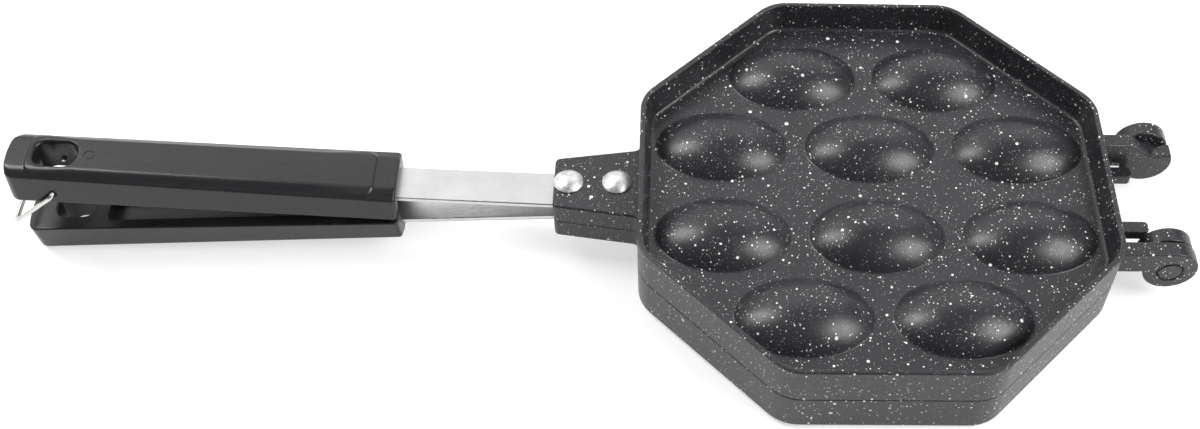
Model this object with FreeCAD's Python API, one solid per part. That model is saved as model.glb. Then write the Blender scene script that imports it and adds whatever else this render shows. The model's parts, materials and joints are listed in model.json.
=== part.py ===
import FreeCAD, Part
import math
import os

# Egg waffle pan: two identical cast halves hinged at one end, each with a riveted steel tang
# and a moulded grip at the other. A wire bail on the upper grip hooks the two grips together.
# Millimetres, +Z up. The halves meet in the plane z = 0 and the pan's centre is at x = y = 0
# while they are modelled. Every piece of the lower half is the upper one turned half a turn
# about the X axis. At the end the whole pan is moved so that the lowest point stands on z = 0.

V = FreeCAD.Vector
X_AXIS = V(1, 0, 0)
Y_AXIS = V(0, 1, 0)
Z_AXIS = V(0, 0, 1)
ORIGIN = V(0, 0, 0)
OVERRUN = 2.0  # how far a cutting shape runs past what it cuts
SAME_PLACE = 0.001  # how close two heights are to count as one
TURNED_SIDES = 14  # facets round a rivet or screw

# Cast body of one half
PAN_WIDTH = 180.0
HALF_HEIGHT = 17.6
CORNER_R = 16.0
RIM_WALL = 2.2
WALL_DRAFT = 1.1
FLOOR_HEIGHT = 5.3
FLOOR_BEVEL = 1.6
RIM_BEVEL = 0.5
PARTING_BEVEL = 0.5

# Baking side: a flat sealing band round a shallow step that holds the batter web
SEAL_BAND = 7.0
WEB_STEP = 1.2

# Egg cavities and the bumps that they make on the outside
BUMP_LENGTH = 51.4
BUMP_WIDTH = 34.8
BUMP_HEIGHT = 9.0
EGG_WALL = 3.0
EGG_SIDES = 18
EGG_LEVEL_SHARES = (1.0, 0.76, 0.5, 0.22)
EGG_PITCH = 58.0
ROW_NEAR_MIDDLE = 21.6
ROW_OUTER = 58.6
EGG_ROWS = (
    (ROW_OUTER, (-0.5, 0.5)),
    (ROW_NEAR_MIDDLE, (-1.0, 0.0, 1.0)),
    (-ROW_NEAR_MIDDLE, (-1.0, 0.0, 1.0)),
    (-ROW_OUTER, (-0.5, 0.5)),
)

# Cast lug that carries the tang
LUG_LENGTH = 32.5
LUG_ROOT_WIDTH = 33.2
LUG_END_WIDTH = 23.6
LUG_HEIGHT = 9.0
LUG_EDGE_BEVEL = 0.8
LUG_CORNER_R = 2.0
LUG_GAP = 0.1

# Steel tang
TANG_WIDTH = 15.0
TANG_THICKNESS = 2.0
TANG_CLEAR = 0.1
TANG_TOP = 4.4
TANG_ROOT_LENGTH = 28.0
TANG_SLOPE = 3.25
TANG_EXPOSED = 58.9

# Rivets
RIVET_SHANK_R = 2.5
RIVET_HEAD_R = 5.6
RIVET_HEAD_EDGE = 0.7
RIVET_HEAD_HEIGHT = 2.6
RIVET_TAIL_R = 4.0
RIVET_TAIL_HEIGHT = 1.4
RIVET_END_DISTANCE = 5.6
RIVET_SPACING = 18.4
RIVET_CLEAR = 0.05
RIVET_DOME_SHARES = (1.0, 0.7, 0.35)

# Hinge: knuckle discs, arms, studs and the stop stubs beside them
HINGE_REACH = 20.5
KNUCKLE_R = 10.3
KNUCKLE_RISE = 0.7
KNUCKLE_THICK = 6.3
KNUCKLE_GAP = 1.6
KNUCKLE_INNER_FACE = 19.3
KNUCKLE_EDGE_R = 0.6
ARM_GAP = 0.3
STUD_R = 4.75
STUD_CLEAR = 0.08
STUD_CHAMFER = 0.45
STUB_WIDTH = 5.1
STUB_HEIGHT = 5.0
STUB_END_R = 1.6
STUB_GAP = 1.2
STUB_AXIS_GAP = 6.1
NOTCH_START = 7.3
NOTCH_FLOOR = 3.8
NOTCH_FLOOR_OFFSET = 1.9
NOTCH_LIP = 5.4
NOTCH_LIP_OFFSET = 9.5

# Moulded grip, in its own frame: along the tang, over the tang's top face
GRIP_LENGTH = 143.2
GRIP_BELOW_TANG = 4.8
GRIP_EDGE_AT_PAN = 3.3
GRIP_EDGE_AT_TAIL = 5.8
GRIP_INNER_WIDTH_AT_PAN = 26.6
GRIP_INNER_WIDTH_AT_TAIL = 23.3
GRIP_EDGE_WIDTH_AT_PAN = 24.4
GRIP_EDGE_WIDTH_AT_TAIL = 21.0
GRIP_FLAT_WIDTH = 15.0
GRIP_CROWN = 2.0
GRIP_EDGE_BEVEL = 0.6
GRIP_PAN_CORNER_R = 1.6
GRIP_TAIL_CORNER_R = 3.0
GRIP_TAIL_BULGE = 1.6
PANEL_RAISE = 0.6
PANEL_LEDGE = 0.5
PANEL_FROM_PAN_END = 8.3
PANEL_FROM_TAIL = 7.5
PANEL_CORNER_R = 5.0
CHANNEL_FROM_TAIL = 30.5
TANG_IN_GRIP = 34.0

# Hang slot
SLOT_LENGTH = 15.4
SLOT_WIDTH = 11.4
SLOT_CORNER_R = 4.6
SLOT_FROM_TAIL = 17.6
SLOT_LIP = 0.9

# Screw that holds the tang in the grip
SCREW_R = 1.75
SCREW_CLEAR = 0.05
SCREW_DEPTH = 5.0
SCREW_HEAD_R = 3.5
SCREW_HEAD_HEIGHT = 2.0
SCREW_FROM_PAN_END = 24.0
SCREW_DRIVE_R = 1.4
SCREW_DRIVE_DEPTH = 1.1

# Wire bail on the upper grip
WIRE_R = 0.85
WIRE_CLEAR = 0.08
WIRE_SIDES = 10
BEND_STEPS = 4
BAIL_LEG = 23.5
BAIL_SWING = 50.0
BAIL_SIDE_GAP = 0.35
BAIL_ELBOW_R = 1.9
BAIL_CORNER_R = 2.4
BAIL_PIN_SHOW = 1.2
BAIL_FROM_TAIL = 17.2
BAIL_BELOW_TANG_TOP = 1.9
PIVOT_FLARE = 0.7

# Places worked out from the sizes above
WALL_X = PAN_WIDTH / 2
AXIS_X = WALL_X + HINGE_REACH
LUG_END_X = -WALL_X - LUG_LENGTH
BEND_X = LUG_END_X
ARM_TOP = KNUCKLE_RISE + KNUCKLE_R
KNUCKLE_OUTER_INNER_FACE = KNUCKLE_INNER_FACE + KNUCKLE_THICK + KNUCKLE_GAP
KNUCKLE_OUTER_FACE = KNUCKLE_OUTER_INNER_FACE + KNUCKLE_THICK
GRIP_START = TANG_EXPOSED
GRIP_END = GRIP_START + GRIP_LENGTH
GRIP_INNER = -TANG_THICKNESS - GRIP_BELOW_TANG
CHANNEL_END = GRIP_END - CHANNEL_FROM_TAIL
TANG_END = GRIP_START + TANG_IN_GRIP


def rounded_wire(points, radii):
    """Closed wire through the points, each corner turned by an arc of its own radius."""
    count = len(points)
    edges = []
    starts = []
    ends = []
    for i, corner in enumerate(points):
        before = points[i - 1] - corner
        after = points[(i + 1) % count] - corner
        half_turn = before.getAngle(after) / 2
        tangent = radii[i] / math.tan(half_turn)
        before.normalize()
        after.normalize()
        bisector = before + after
        bisector.normalize()
        centre = corner + bisector * (radii[i] / math.sin(half_turn))
        first = corner + before * tangent
        last = corner + after * tangent
        middle = centre - bisector * radii[i]
        starts.append(first)
        ends.append(last)
        edges.append(Part.Arc(first, middle, last).toShape())
    for i in range(count):
        first = ends[i]
        last = starts[(i + 1) % count]
        edges.append(Part.LineSegment(first, last).toShape())
    return Part.Wire(Part.__sortEdges__(edges))


def bevelled_wire(points, cut):
    """Closed wire through the points, each corner cut off at the same distance from it."""
    corners = []
    for i, corner in enumerate(points):
        before = points[i - 1] - corner
        after = points[(i + 1) % len(points)] - corner
        before.normalize()
        after.normalize()
        corners.append(corner + before * cut)
        corners.append(corner + after * cut)
    return Part.makePolygon(corners + corners[:1])


def prism(wire, direction):
    return Part.Face(wire).extrude(direction)


def octagon(across, corner_r, z):
    """Regular octagon with rounded corners, in a plane of constant z."""
    half = across / 2
    short = half * math.tan(math.pi / 8)
    points = [
        V(half, -short, z),
        V(half, short, z),
        V(short, half, z),
        V(-short, half, z),
        V(-half, short, z),
        V(-half, -short, z),
        V(-short, -half, z),
        V(short, -half, z),
    ]
    return rounded_wire(points, [corner_r] * len(points))


def edges_where(shape, test):
    return [edge for edge in shape.Edges if test(edge)]


def level(edge, z):
    """True where the whole edge lies at height z."""
    box = edge.BoundBox
    return abs(box.ZMin - z) < SAME_PLACE and abs(box.ZMax - z) < SAME_PLACE


def ring(length, width, z, sides):
    """Corners of a many-sided ellipse or circle."""
    corners = []
    for i in range(sides):
        angle = 2 * math.pi * (i + 0.5) / sides
        corners.append(V(length / 2 * math.cos(angle), width / 2 * math.sin(angle), z))
    return corners


def flat_face(corners):
    return Part.Face(Part.makePolygon(corners + corners[:1]))


def stacked(rings):
    """Solid in flat facets through rings that have their corners in the same order."""
    faces = [flat_face(rings[0]), flat_face(rings[-1])]
    for one, other in zip(rings, rings[1:]):
        for i in range(len(one)):
            faces.append(flat_face([one[i - 1], one[i], other[i], other[i - 1]]))
    solid = Part.Solid(Part.Shell(faces))
    if solid.Volume < 0:
        solid.reverse()
    return solid


def turned(profile, x):
    """Small round solid on an upright axis at x, from its (radius, height) pairs."""
    rings = []
    for radius, z in profile:
        rings.append(ring(2 * radius, 2 * radius, z, TURNED_SIDES))
    solid = stacked(rings)
    solid.translate(V(x, 0, 0))
    return solid


def egg_dome(length, width, height, plinth):
    """Cap of an egg on a plinth, in flat facets: long axis along X, foot at z = 0.

    Across, the cap is an arc of a circle. Every level is an ellipse of the same proportions.
    """
    half = width / 2
    radius = (half * half + height * height) / (2 * height)
    foot_angle = math.asin(half / radius)
    rings = [ring(length, width, -plinth, EGG_SIDES)]
    for share in EGG_LEVEL_SHARES:
        angle = share * foot_angle
        size = math.sin(angle) / math.sin(foot_angle)
        z = height - radius * (1 - math.cos(angle))
        rings.append(ring(length * size, width * size, z, EGG_SIDES))
    return stacked(rings)


def at_eggs(shape, z):
    """Copies of a shape at every egg, lifted to z."""
    copies = []
    for row_y, column_shares in EGG_ROWS:
        for share in column_shares:
            copy = shape.copy()
            copy.translate(V(share * EGG_PITCH, row_y, z))
            copies.append(copy)
    return copies


def plate_shell():
    """Octagonal casting: skirt, floor, egg bumps outside and egg cavities inside."""
    body = prism(octagon(PAN_WIDTH, CORNER_R, 0), V(0, 0, HALF_HEIGHT))
    body = body.makeChamfer(PARTING_BEVEL, edges_where(body, lambda e: level(e, 0)))
    rim_inset = 2 * RIM_WALL
    floor_inset = rim_inset + 2 * WALL_DRAFT
    slope = 2 * WALL_DRAFT / (HALF_HEIGHT - FLOOR_HEIGHT)
    above_inset = rim_inset - slope * OVERRUN
    wide = octagon(PAN_WIDTH - above_inset, CORNER_R - above_inset / 2, HALF_HEIGHT + OVERRUN)
    narrow = octagon(PAN_WIDTH - floor_inset, CORNER_R - floor_inset / 2, FLOOR_HEIGHT)
    hollow = Part.makeLoft([narrow, wide], True, True)
    low_edges = edges_where(hollow, lambda e: level(e, FLOOR_HEIGHT))
    body = body.cut(hollow.makeChamfer(FLOOR_BEVEL, low_edges))
    body = body.makeChamfer(RIM_BEVEL, edges_where(body, lambda e: level(e, HALF_HEIGHT)))
    bump = egg_dome(BUMP_LENGTH, BUMP_WIDTH, BUMP_HEIGHT, FLOOR_HEIGHT / 2)
    body = body.fuse(at_eggs(bump, FLOOR_HEIGHT)).removeSplitter()
    web_across = PAN_WIDTH - 2 * SEAL_BAND
    web_corner = CORNER_R - SEAL_BAND
    step = prism(octagon(web_across, web_corner, -OVERRUN), V(0, 0, OVERRUN + WEB_STEP))
    cavity = egg_dome(
        BUMP_LENGTH - 2 * EGG_WALL,
        BUMP_WIDTH - 2 * EGG_WALL,
        FLOOR_HEIGHT + BUMP_HEIGHT - EGG_WALL - WEB_STEP,
        WEB_STEP / 2,
    )
    return body.cut([step] + at_eggs(cavity, WEB_STEP))


def lug():
    """Tapered block on the grip side, open underneath for the tang."""
    root_x = -WALL_X + RIM_WALL
    points = [
        V(root_x, -LUG_ROOT_WIDTH / 2, LUG_GAP),
        V(root_x, LUG_ROOT_WIDTH / 2, LUG_GAP),
        V(LUG_END_X, LUG_END_WIDTH / 2, LUG_GAP),
        V(LUG_END_X, -LUG_END_WIDTH / 2, LUG_GAP),
    ]
    radii = [RIM_WALL / 2, RIM_WALL / 2, LUG_CORNER_R, LUG_CORNER_R]
    block = prism(rounded_wire(points, radii), V(0, 0, LUG_HEIGHT - LUG_GAP))
    return block.makeChamfer(LUG_EDGE_BEVEL, edges_where(block, lambda e: level(e, LUG_HEIGHT)))


def tang_pocket():
    """Room for the tang in the underside of the lug, open at the lug's end."""
    width = TANG_WIDTH + 2 * TANG_CLEAR
    length = TANG_ROOT_LENGTH + TANG_CLEAR + OVERRUN
    corner = V(LUG_END_X - OVERRUN, -width / 2, LUG_GAP - OVERRUN)
    return Part.makeBox(length, width, TANG_TOP - corner.z, corner)


def rivet_places():
    first = LUG_END_X + RIVET_END_DISTANCE
    return (first, first + RIVET_SPACING)


def knuckle(inner_y, sign, thickness):
    """Arm and disc of one knuckle, from inner_y outwards on the side given by sign."""
    low_y = min(sign * inner_y, sign * (inner_y + thickness))
    root_x = WALL_X - RIM_WALL
    arm = Part.makeBox(AXIS_X - root_x, thickness, ARM_TOP - ARM_GAP, V(root_x, low_y, ARM_GAP))
    disc = Part.makeCylinder(KNUCKLE_R, thickness, V(AXIS_X, low_y, KNUCKLE_RISE), Y_AXIS)
    return arm.fuse(disc).removeSplitter()


def notch():
    """Open top of the inner knuckle, through which the other half's stub can slide out."""
    high = ARM_TOP + OVERRUN
    slope = (ARM_TOP - NOTCH_FLOOR) / (NOTCH_START + NOTCH_FLOOR_OFFSET)
    far = KNUCKLE_R + OVERRUN
    lip_slope = (NOTCH_LIP - NOTCH_FLOOR) / (NOTCH_LIP_OFFSET - NOTCH_FLOOR_OFFSET)
    low_y = KNUCKLE_INNER_FACE - OVERRUN
    points = [
        V(AXIS_X - NOTCH_START - OVERRUN / slope, low_y, high),
        V(AXIS_X + NOTCH_FLOOR_OFFSET, low_y, NOTCH_FLOOR),
        V(AXIS_X + far, low_y, NOTCH_LIP + lip_slope * (far - NOTCH_LIP_OFFSET)),
        V(AXIS_X + far, low_y, high),
    ]
    wire = Part.makePolygon(points + points[:1])
    return prism(wire, V(0, KNUCKLE_THICK + OVERRUN, 0))


def chamfered_pin(radius, length, base, direction):
    pin = Part.makeCylinder(radius, length, base, direction)
    end = base + direction * length
    rim = [e for e in pin.Edges if e.Closed and e.CenterOfMass.distanceToPoint(end) < radius / 2]
    return pin.makeChamfer(STUD_CHAMFER, rim)


def hinge_side():
    """Everything that stands out on the hinge side, as (solids to add, solids to cut)."""
    outer = knuckle(KNUCKLE_OUTER_INNER_FACE, -1, KNUCKLE_THICK)
    inner = knuckle(KNUCKLE_INNER_FACE, 1, KNUCKLE_THICK).cut(notch())
    stud_from = KNUCKLE_INNER_FACE + KNUCKLE_THICK / 2
    stud = chamfered_pin(
        STUD_R, KNUCKLE_OUTER_FACE - stud_from, V(AXIS_X, stud_from, 0), Y_AXIS
    )
    inner = inner.fuse(stud).removeSplitter()
    stub_far = KNUCKLE_INNER_FACE - STUB_GAP
    root_x = WALL_X - RIM_WALL
    stub_end = AXIS_X - STUB_AXIS_GAP
    points = [
        V(root_x, -stub_far, ARM_GAP),
        V(stub_end, -stub_far, ARM_GAP),
        V(stub_end, -stub_far + STUB_WIDTH, ARM_GAP),
        V(root_x, -stub_far + STUB_WIDTH, ARM_GAP),
    ]
    radii = [KNUCKLE_EDGE_R, STUB_END_R, STUB_END_R, KNUCKLE_EDGE_R]
    stub = prism(rounded_wire(points, radii), V(0, 0, STUB_HEIGHT - ARM_GAP))
    hole_r = STUD_R + STUD_CLEAR
    hole = Part.makeCylinder(
        hole_r, KNUCKLE_THICK + 2 * OVERRUN, V(AXIS_X, -KNUCKLE_OUTER_FACE - OVERRUN, 0), Y_AXIS
    )
    mouth = Part.makeCone(
        hole_r + STUD_CHAMFER, hole_r, STUD_CHAMFER, V(AXIS_X, -KNUCKLE_OUTER_FACE, 0), Y_AXIS
    )
    return [outer, inner, stub], [hole, mouth]


def plate():
    """One cast half, upper way up."""
    added, cut = hinge_side()
    body = plate_shell().fuse(added + [lug()]).removeSplitter()
    cut.append(tang_pocket())
    for x in rivet_places():
        cut.append(Part.makeCylinder(RIVET_SHANK_R + RIVET_CLEAR, LUG_HEIGHT + OVERRUN, V(x, 0, 0)))
    return body.cut(cut)


def rivet(x):
    """Round-headed rivet through lug and tang: head on top, tail under the tang."""
    top = LUG_HEIGHT
    under = TANG_TOP - TANG_THICKNESS
    low = under - RIVET_TAIL_HEIGHT
    rise = RIVET_HEAD_HEIGHT - RIVET_HEAD_EDGE
    ball_r = (RIVET_HEAD_R * RIVET_HEAD_R + rise * rise) / (2 * rise)
    profile = [
        (RIVET_TAIL_R - RIVET_TAIL_HEIGHT / 2, low),
        (RIVET_TAIL_R, under),
        (RIVET_SHANK_R, under),
        (RIVET_SHANK_R, top),
        (RIVET_HEAD_R, top),
    ]
    for share in RIVET_DOME_SHARES:
        radius = RIVET_HEAD_R * share
        drop = ball_r - math.sqrt(ball_r * ball_r - radius * radius)
        profile.append((radius, top + RIVET_HEAD_HEIGHT - drop))
    return turned(profile, x)


def along_tang(shape):
    """Moves a shape from the tang's own frame, where the tang runs along -X, to its place."""
    shape.rotate(ORIGIN, Y_AXIS, TANG_SLOPE)
    shape.translate(V(BEND_X, 0, TANG_TOP))
    return shape


def screw_place():
    return -(GRIP_START + SCREW_FROM_PAN_END)


def tang():
    """Steel strip: flat in the lug, then bent outwards and run into the grip."""
    half = TANG_WIDTH / 2
    slope = math.radians(TANG_SLOPE)
    outwards = V(-math.cos(slope), 0, math.sin(slope))
    under = V(-math.sin(slope), 0, -math.cos(slope)) * TANG_THICKNESS
    bend = V(BEND_X, -half, TANG_TOP)
    inner_bend = bend + V(-math.tan(slope / 2), 0, -1) * TANG_THICKNESS
    end = bend + outwards * TANG_END
    root = V(LUG_END_X + TANG_ROOT_LENGTH, -half, TANG_TOP)
    root_under = root - V(0, 0, TANG_THICKNESS)
    outline = [root, bend, end, end + under, inner_bend, root_under]
    strip = prism(Part.makePolygon(outline + outline[:1]), V(0, TANG_WIDTH, 0))
    low = V(screw_place(), 0, -TANG_THICKNESS - OVERRUN)
    screw_hole = Part.makeCylinder(SCREW_R + SCREW_CLEAR, TANG_THICKNESS + 2 * OVERRUN, low)
    holes = [along_tang(screw_hole)]
    for x in rivet_places():
        holes.append(Part.makeCylinder(RIVET_SHANK_R + RIVET_CLEAR, TANG_TOP + OVERRUN, V(x, 0, 0)))
    return strip.cut(holes)


def blend(at_pan, at_tail, along):
    """Size at a place along the grip, between its two ends."""
    share = (along - GRIP_START) / GRIP_LENGTH
    return at_pan + (at_tail - at_pan) * share


def grip_section(along, raise_by, widen):
    """Cross-section of the grip: wide inner face, leaning sides, sloped shoulders, flat top."""
    inner = blend(GRIP_INNER_WIDTH_AT_PAN, GRIP_INNER_WIDTH_AT_TAIL, along) / 2 + widen
    edge = blend(GRIP_EDGE_WIDTH_AT_PAN, GRIP_EDGE_WIDTH_AT_TAIL, along) / 2
    edge_z = blend(GRIP_EDGE_AT_PAN, GRIP_EDGE_AT_TAIL, along) + raise_by
    flat = GRIP_FLAT_WIDTH / 2
    slope = GRIP_CROWN / (edge - flat)
    shoulder = edge + widen
    shoulder_z = edge_z - slope * widen
    x = -along
    points = [
        V(x, -inner, GRIP_INNER),
        V(x, inner, GRIP_INNER),
        V(x, shoulder, shoulder_z),
        V(x, flat, edge_z + GRIP_CROWN),
        V(x, -flat, edge_z + GRIP_CROWN),
        V(x, -shoulder, shoulder_z),
    ]
    return bevelled_wire(points, GRIP_EDGE_BEVEL)


def grip_loft(raise_by, widen):
    first = GRIP_START - OVERRUN
    last = GRIP_END + OVERRUN
    sections = [grip_section(first, raise_by, widen), grip_section(last, raise_by, widen)]
    return Part.makeLoft(sections, True, True)


def grip_outline():
    """Plan of the grip: square pan end, bowed tail end, rounded corners."""
    low = GRIP_INNER - OVERRUN
    pan_half = GRIP_INNER_WIDTH_AT_PAN / 2
    tail_half = GRIP_INNER_WIDTH_AT_TAIL / 2
    pan_x = -GRIP_START
    tail_x = -GRIP_END + GRIP_TAIL_BULGE
    points = [
        V(pan_x, -pan_half, low),
        V(pan_x, pan_half, low),
        V(tail_x, tail_half, low),
        V(tail_x, -tail_half, low),
    ]
    radii = [GRIP_PAN_CORNER_R, GRIP_PAN_CORNER_R, GRIP_TAIL_CORNER_R, GRIP_TAIL_CORNER_R]
    height = GRIP_CROWN + GRIP_EDGE_AT_TAIL - low + OVERRUN
    plan = prism(rounded_wire(points, radii), V(0, 0, height))
    bow_half = tail_half - GRIP_TAIL_CORNER_R
    far = V(tail_x, bow_half, low)
    near = V(tail_x, -bow_half, low)
    bow = Part.Arc(far, V(tail_x - GRIP_TAIL_BULGE, 0, low), near)
    chord = Part.LineSegment(near, far)
    cap = prism(Part.Wire([bow.toShape(), chord.toShape()]), V(0, 0, height))
    return plan.fuse(cap).removeSplitter()


def grip_panel():
    """Raised panel on the grip's top: flat, sloped shoulders, rounded ends."""
    first = GRIP_START + PANEL_FROM_PAN_END
    last = GRIP_END - PANEL_FROM_TAIL
    first_half = blend(GRIP_EDGE_WIDTH_AT_PAN, GRIP_EDGE_WIDTH_AT_TAIL, first) / 2 - PANEL_LEDGE
    last_half = blend(GRIP_EDGE_WIDTH_AT_PAN, GRIP_EDGE_WIDTH_AT_TAIL, last) / 2 - PANEL_LEDGE
    points = [
        V(-first, -first_half, 0),
        V(-first, first_half, 0),
        V(-last, last_half, 0),
        V(-last, -last_half, 0),
    ]
    outline = rounded_wire(points, [PANEL_CORNER_R] * len(points))
    room = prism(outline, V(0, 0, GRIP_EDGE_AT_TAIL + GRIP_CROWN + OVERRUN))
    return grip_loft(PANEL_RAISE, OVERRUN).common(room)


def slot_wire(grow, z):
    half_length = SLOT_LENGTH / 2 + grow
    half_width = SLOT_WIDTH / 2 + grow
    x = -(GRIP_END - SLOT_FROM_TAIL)
    points = [
        V(x + half_length, -half_width, z),
        V(x + half_length, half_width, z),
        V(x - half_length, half_width, z),
        V(x - half_length, -half_width, z),
    ]
    return rounded_wire(points, [SLOT_CORNER_R + grow] * 4)


def grip_top_z(along):
    """Height of the panel's flat top over the tang's top face."""
    return blend(GRIP_EDGE_AT_PAN, GRIP_EDGE_AT_TAIL, along) + PANEL_RAISE + GRIP_CROWN


def hang_slot():
    """Slot through the grip with a sloped lip at the top."""
    low = GRIP_INNER - OVERRUN
    top = grip_top_z(GRIP_END - SLOT_FROM_TAIL)
    through = prism(slot_wire(0, low), V(0, 0, top - low + OVERRUN))
    lip_wires = [slot_wire(0, top - SLOT_LIP), slot_wire(2 * SLOT_LIP, top + SLOT_LIP)]
    return [through, Part.makeLoft(lip_wires, True, True)]


def pivot_place():
    """Bail pivot in the grip's frame, as (x, z)."""
    return -(GRIP_END - BAIL_FROM_TAIL), -BAIL_BELOW_TANG_TOP


def grip_half_width_at_pivot():
    """Half width of the grip's inner face, the widest place that the bail's legs pass."""
    along = GRIP_END - BAIL_FROM_TAIL
    return blend(GRIP_INNER_WIDTH_AT_PAN, GRIP_INNER_WIDTH_AT_TAIL, along) / 2


def side_at_pivot():
    """Half width of the leaning side at the pivot's height."""
    along = GRIP_END - BAIL_FROM_TAIL
    inner = grip_half_width_at_pivot()
    edge = blend(GRIP_EDGE_WIDTH_AT_PAN, GRIP_EDGE_WIDTH_AT_TAIL, along) / 2
    edge_z = blend(GRIP_EDGE_AT_PAN, GRIP_EDGE_AT_TAIL, along)
    share = (pivot_place()[1] - GRIP_INNER) / (edge_z - GRIP_INNER)
    return inner + (edge - inner) * share


def pivot_holes():
    """Holes for the bail's ends through both side walls, flared outside for its elbows."""
    x, z = pivot_place()
    wide = grip_half_width_at_pivot() + OVERRUN
    hole_r = WIRE_R + WIRE_CLEAR
    cuts = [Part.makeCylinder(hole_r, 2 * wide, V(x, -wide, z), Y_AXIS)]
    side = side_at_pivot()
    flare = 2 * PIVOT_FLARE
    for sign in (-1, 1):
        mouth = V(x, sign * (side - PIVOT_FLARE), z)
        cuts.append(Part.makeCone(hole_r, hole_r + flare, flare, mouth, Y_AXIS * sign))
    return cuts


def grip(with_pivot):
    """Moulded grip, in its place on the upper tang."""
    body = grip_loft(0, 0).common(grip_outline())
    body = body.fuse(grip_panel()).removeSplitter()
    width = TANG_WIDTH + 2 * TANG_CLEAR
    low = GRIP_INNER - OVERRUN
    length = CHANNEL_END - GRIP_START + OVERRUN
    channel = Part.makeBox(length, width, -low, V(-CHANNEL_END, -width / 2, low))
    screw_hole = Part.makeCylinder(SCREW_R, SCREW_DEPTH, V(screw_place(), 0, 0))
    cuts = [channel, screw_hole] + hang_slot()
    if with_pivot:
        cuts += pivot_holes()
    return along_tang(body.cut(cuts))


def grip_screw():
    """Screw from the open side of the grip through the tang into the grip's roof."""
    x = screw_place()
    under = -TANG_THICKNESS
    low = under - SCREW_HEAD_HEIGHT
    profile = [
        (SCREW_HEAD_R - SCREW_HEAD_HEIGHT / 2, low),
        (SCREW_HEAD_R, low + SCREW_HEAD_HEIGHT / 2),
        (SCREW_HEAD_R, under),
        (SCREW_R, under),
        (SCREW_R, SCREW_DEPTH),
    ]
    arm = 2 * SCREW_DRIVE_R
    thin = SCREW_DRIVE_R / 2
    deep = SCREW_DRIVE_DEPTH + OVERRUN
    one = Part.makeBox(arm, thin, deep, V(x - arm / 2, -thin / 2, low - OVERRUN))
    other = Part.makeBox(thin, arm, deep, V(x - thin / 2, -arm / 2, low - OVERRUN))
    return along_tang(turned(profile, x).cut([one, other]))


def pivot_point():
    """Bail pivot in the pan's frame."""
    x, z = pivot_place()
    angle = math.radians(TANG_SLOPE)
    return V(
        BEND_X + x * math.cos(angle) + z * math.sin(angle),
        0,
        TANG_TOP - x * math.sin(angle) + z * math.cos(angle),
    )


def bent_path(points, radii):
    """Straight runs through the points, with each inner corner rounded in BEND_STEPS steps."""
    path = [points[0]]
    for i in range(1, len(points) - 1):
        before = points[i - 1] - points[i]
        after = points[i + 1] - points[i]
        before.normalize()
        after.normalize()
        centre = points[i] + (before + after) * radii[i - 1]
        for step in range(BEND_STEPS + 1):
            angle = math.pi / 2 * step / BEND_STEPS
            turn = after * math.cos(angle) + before * math.sin(angle)
            path.append(centre - turn * radii[i - 1])
    path.append(points[-1])
    return path


def wire_along(path, start_ring):
    """Round wire in flat facets, mitred at each point of its path."""
    rings = [start_ring]
    for i in range(1, len(path)):
        run = path[i] - path[i - 1]
        run.normalize()
        normal = V(run)
        if i + 1 < len(path):
            following = path[i + 1] - path[i]
            following.normalize()
            normal = run + following
        moved_on = []
        for corner in rings[-1]:
            distance = (path[i] - corner).dot(normal) / run.dot(normal)
            moved_on.append(corner + run * distance)
        rings.append(moved_on)
    return stacked(rings)


def latch_bail():
    """Wire bail, swung out past the tail of the grips as it hangs in use."""
    pivot = pivot_point()
    swing = math.radians(BAIL_SWING)
    reach = V(-math.sin(swing), 0, -math.cos(swing)) * BAIL_LEG
    leg_y = grip_half_width_at_pivot() + BAIL_SIDE_GAP + WIRE_R
    pin_y = SLOT_WIDTH / 2 - BAIL_PIN_SHOW
    far_elbow = pivot + V(0, leg_y, 0)
    near_elbow = pivot - V(0, leg_y, 0)
    points = [
        pivot + V(0, pin_y, 0),
        far_elbow,
        far_elbow + reach,
        near_elbow + reach,
        near_elbow,
        pivot - V(0, pin_y, 0),
    ]
    path = bent_path(points, [BAIL_ELBOW_R, BAIL_CORNER_R, BAIL_CORNER_R, BAIL_ELBOW_R])
    start_ring = []
    for corner in ring(2 * WIRE_R, 2 * WIRE_R, 0, WIRE_SIDES):
        start_ring.append(points[0] + V(corner.x, 0, corner.y))
    return wire_along(path, start_ring)


def turned_over(shape):
    """Half a turn about the X axis, which makes a lower piece from an upper one."""
    copy = shape.copy()
    copy.rotate(ORIGIN, X_AXIS, 180)
    return copy


def build():
    upper = {
        "plate": plate(),
        "tang": tang(),
        "grip_screw": grip_screw(),
    }
    for name, x in zip(("rear_rivet", "front_rivet"), rivet_places()):
        upper[name] = rivet(x)
    nodes = {}
    for name, shape in upper.items():
        nodes["upper_" + name] = shape
        nodes["lower_" + name] = turned_over(shape)
    nodes["upper_grip"] = grip(True)
    nodes["lower_grip"] = turned_over(grip(False))
    nodes["latch_bail"] = latch_bail()
    return nodes


def stood_on_floor(nodes):
    """Moves every piece so that the middle of the whole pan's base lies at the origin."""
    box = Part.makeCompound(list(nodes.values())).optimalBoundingBox(False, False)
    shift = V(-(box.XMin + box.XMax) / 2, -(box.YMin + box.YMax) / 2, -box.ZMin)
    for shape in nodes.values():
        shape.translate(shift)
    return shift


os.makedirs("parts", exist_ok=True)
all_nodes = build()
moved = stood_on_floor(all_nodes)
print("moved by", round(moved.x, 3), round(moved.y, 3), round(moved.z, 3))
for node_name, node_shape in all_nodes.items():
    print(
        node_name,
        "solids",
        len(node_shape.Solids),
        "valid",
        node_shape.isValid(),
        "volume",
        round(node_shape.Volume, 1),
    )
    node_shape.exportStep("parts/" + node_name + ".step")
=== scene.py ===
import bpy
import bmesh
import json
import math
from mathutils import Matrix, Vector


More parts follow.
